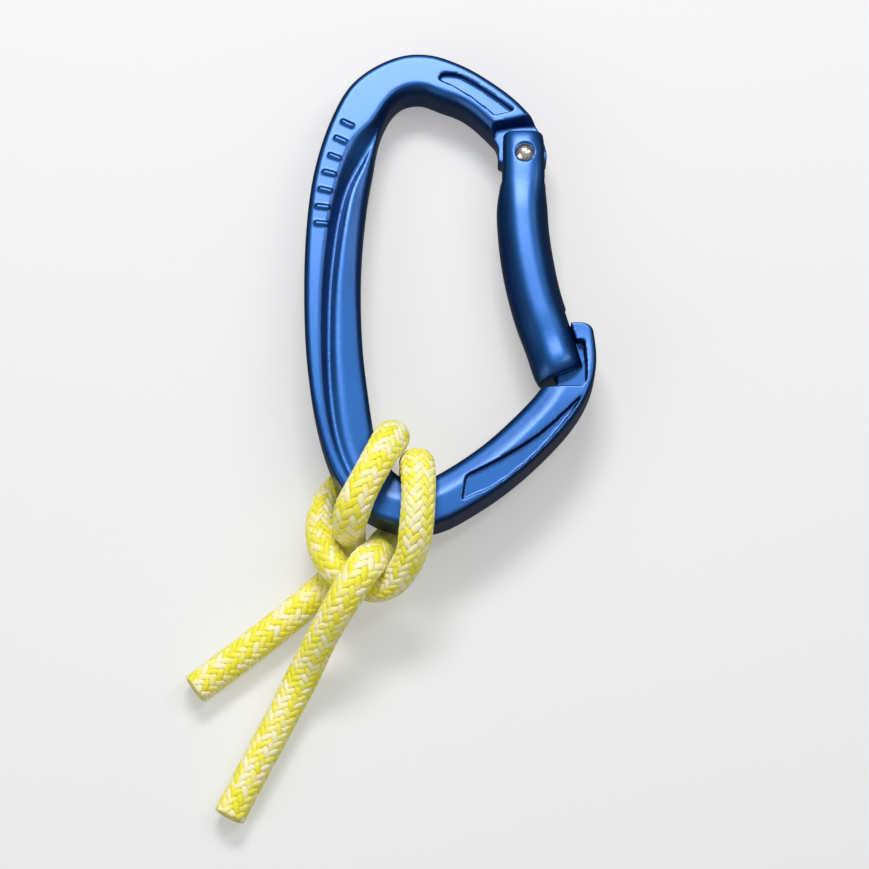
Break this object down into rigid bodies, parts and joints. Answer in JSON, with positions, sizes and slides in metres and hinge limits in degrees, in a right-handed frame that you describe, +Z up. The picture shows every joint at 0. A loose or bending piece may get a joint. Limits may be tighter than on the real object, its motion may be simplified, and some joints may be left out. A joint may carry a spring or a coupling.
{
  "type": "climbing carabiner with clove-hitched cord",
  "caption": "Bent-gate keylock climbing carabiner with a yellow accessory cord tied round its lower end in a clove hitch",
  "frame": {"origin": "on the table, under the middle of the carabiner's outline", "axes": "+X from the spine towards the gate, +Y towards the top bow, +Z up from the table"},
  "size_m": [0.0803, 0.1546, 0.0246],
  "materials": {
    "anodised_aluminium": "blue satin anodised",
    "rivet_steel": "polished stainless",
    "plunger_steel": "turned stainless",
    "spring_steel": "drawn spring wire",
    "rope_sheath": "braided polyamide, lemon yellow and cream",
    "rope_core": "twisted white polyamide"
  },
  "bodies": {
    "body": {"frame": "anodised_aluminium", "rope_sheath": "rope_sheath", "rope_core_1": "rope_core", "rope_core_2": "rope_core", "rope_core_3": "rope_core", "rope_core_4": "rope_core", "rope_core_5": "rope_core", "rope_core_6": "rope_core", "rope_core_7": "rope_core"},
    "gate": {"gate": "anodised_aluminium", "gate_rivet": "rivet_steel", "gate_spring": "spring_steel"},
    "plunger": {"gate_plunger": "plunger_steel"}
  },
  "joints": [
    {"name": "gate_hinge", "type": "hinge", "parent": "body", "child": "gate", "pos_m": [0.01505, 0.02801, 0.00677], "axis": [0, -0.0793, -0.9968], "range_deg": [0, 30], "stiffness_Nm_per_rad": 0.15, "springref_deg": -68.75},
    {"name": "plunger_slide", "type": "slide", "parent": "gate", "child": "plunger", "axis": [0, -0.9968, 0.0793], "range_m": [0, 0.0008], "deforming": ["gate_spring"]}
  ],
  "couplings": [
    {"joint": "plunger_slide", "follows": "gate_hinge", "m_per_rad": 0.0015279}
  ]
}
